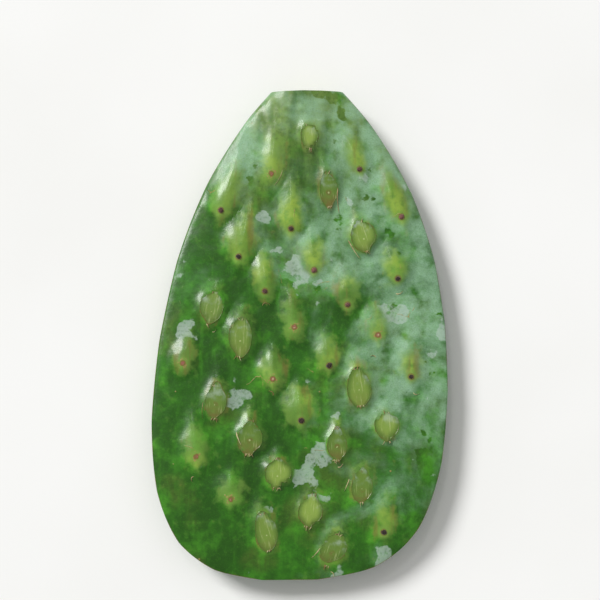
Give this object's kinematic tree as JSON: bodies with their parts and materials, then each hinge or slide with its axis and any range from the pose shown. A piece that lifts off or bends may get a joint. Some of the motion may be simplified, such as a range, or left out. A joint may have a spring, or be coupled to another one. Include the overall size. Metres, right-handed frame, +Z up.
{
  "type": "prickly pear cactus pad",
  "caption": "Whole peeled pad of an edible prickly pear cactus: a broad flat green oval narrowing to a cut base, with shaved areoles, lying flat.",
  "frame": {"origin": "centre of the pad's footprint, at the height of the surface that it lies on", "axes": "+Y along the pad from its broad apex to the narrow cut base, +X across its width, +Z up out of its upper flat side"},
  "size_m": [0.1494, 0.2492, 0.0218],
  "materials": {
    "skin": "satin"
  },
  "bodies": {
    "root": {"pad": "skin"}
  },
  "joints": []
}
